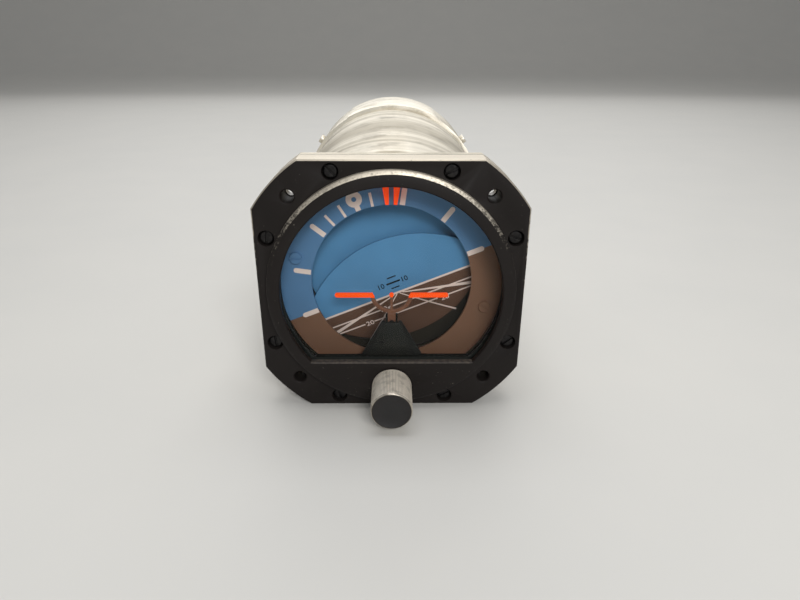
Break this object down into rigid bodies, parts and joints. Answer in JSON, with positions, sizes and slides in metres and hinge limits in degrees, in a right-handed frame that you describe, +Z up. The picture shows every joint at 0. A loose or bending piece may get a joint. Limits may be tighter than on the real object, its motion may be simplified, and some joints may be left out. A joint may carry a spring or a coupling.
{
  "type": "attitude indicator",
  "caption": "Panel-mounted air-driven attitude indicator: square flange, round dial with roll ring, pitch card and miniature aeroplane, adjusting knob and long round case.",
  "frame": {"origin": "on the instrument's axis, on the front face of the mounting flange", "axes": "+X right and +Z up as the pilot sees the dial, +Y back along the instrument's axis into the case"},
  "size_m": [0.0888, 0.2092, 0.0892],
  "materials": {
    "black_enamel": "satin black enamel, worn at the edges",
    "black_oxide": "black oxide",
    "spun_aluminium": "turned, bare and weathered",
    "bright_steel": "bright",
    "clear_glass": "clear polished",
    "black_rubber": "matt",
    "index_orange": "fluorescent orange lacquer",
    "symbol_paint": "orange wings and brown body, matt lacquer",
    "dial_paint": "matt blue above and brown below, pale marks",
    "backdrop_paint": "matt blue above, dark brown below",
    "knob_black": "anodised black, knurled side worn grey",
    "cast_aluminium": "machined",
    "brass": "turned",
    "rotor_steel": "ground",
    "filter_foam": "open felt"
  },
  "bodies": {
    "case": {"bezel": "black_enamel", "bezel_gasket": "black_rubber", "bezel_screws": "black_oxide", "mounting_inserts": "bright_steel", "lens_glass": "clear_glass", "lens_seal": "black_rubber", "lens_retainer": "black_oxide", "bank_index": "index_orange", "index_screws": "black_oxide", "symbol_pedestal": "black_enamel", "pedestal_screws": "black_oxide", "slide_guide": "black_oxide", "guide_screws": "black_oxide", "knob_bushing": "brass", "case_shell": "spun_aluminium", "bearing_carrier": "cast_aluminium", "carrier_screws": "bright_steel", "front_roll_bearing": "bright_steel", "rear_roll_bearing": "bright_steel", "rear_cover": "spun_aluminium", "cover_gasket": "black_rubber", "cover_screws": "bright_steel", "suction_port": "brass", "inlet_port": "brass", "port_nuts": "brass", "suction_tube": "brass", "filter_element": "filter_foam"},
    "knob": {"adjust_knob": "knob_black", "knob_set_screw": "black_oxide", "pinion_shaft": "bright_steel"},
    "symbol": {"symbol_slide": "black_oxide", "airplane_symbol": "symbol_paint", "symbol_rivet": "symbol_paint"},
    "roll_gimbal": {"roll_yoke": "cast_aluminium", "roll_shaft": "bright_steel", "shaft_clip": "bright_steel", "roll_ring": "dial_paint", "ring_screws": "dial_paint", "backdrop": "backdrop_paint", "backdrop_screws": "black_oxide", "roll_balance_weight": "brass", "pitch_bearings": "bright_steel", "card_pivot_pins": "bright_steel"},
    "card": {"pitch_card": "dial_paint", "card_arms": "black_oxide", "card_counterweights": "brass"},
    "gyro_housing": {"rotor_housing": "cast_aluminium", "housing_cover": "cast_aluminium", "housing_screws": "bright_steel", "rotor_bearings": "bright_steel", "pitch_trunnions": "bright_steel", "drive_arm": "bright_steel", "drive_pin": "bright_steel", "air_jets": "brass", "exhaust_block": "cast_aluminium"},
    "rotor": {"rotor": "rotor_steel", "rotor_shaft": "bright_steel"},
    "fore_aft_vanes": {"fore_aft_vanes": "bright_steel"},
    "side_vanes": {"side_vanes": "bright_steel"}
  },
  "joints": [
    {"name": "roll", "type": "hinge", "parent": "case", "child": "roll_gimbal", "pos_m": [0, 0.1, 0], "axis": [0, 1, 0], "continuous": true},
    {"name": "pitch", "type": "hinge", "parent": "roll_gimbal", "child": "gyro_housing", "pos_m": [0, 0.0471, 0], "axis": [0.9272, 0, 0.3746], "range_deg": [-45, 45]},
    {"name": "card_tilt", "type": "hinge", "parent": "roll_gimbal", "child": "card", "pos_m": [0, 0.0875, 0], "axis": [0.9272, 0, 0.3746], "range_deg": [-13.4, 13.4]},
    {"name": "rotor_spin", "type": "hinge", "parent": "gyro_housing", "child": "rotor", "pos_m": [0, 0.0471, 0], "axis": [-0.3746, 0, 0.9272], "continuous": true},
    {"name": "fore_aft_vane_swing", "type": "hinge", "parent": "gyro_housing", "child": "fore_aft_vanes", "pos_m": [0.00727, 0.0471, -0.01799], "axis": [0.9272, 0, 0.3746], "range_deg": [-25, 25]},
    {"name": "side_vane_swing", "type": "hinge", "parent": "gyro_housing", "child": "side_vanes", "pos_m": [0.00787, 0.0471, -0.01947], "axis": [0, 1, 0], "range_deg": [-47, 3]},
    {"name": "knob_turn", "type": "hinge", "parent": "case", "child": "knob", "pos_m": [0, 0, -0.0328], "axis": [0, 1, 0], "range_deg": [-50, 50]},
    {"name": "symbol_slide", "type": "slide", "parent": "case", "child": "symbol", "axis": [0, 0, 1], "range_m": [-0.0022, 0.0022]}
  ],
  "couplings": [
    {"joint": "card_tilt", "follows": "pitch", "ratio": 0.29617},
    {"joint": "symbol_slide", "follows": "knob_turn", "m_per_rad": -0.0025}
  ]
}
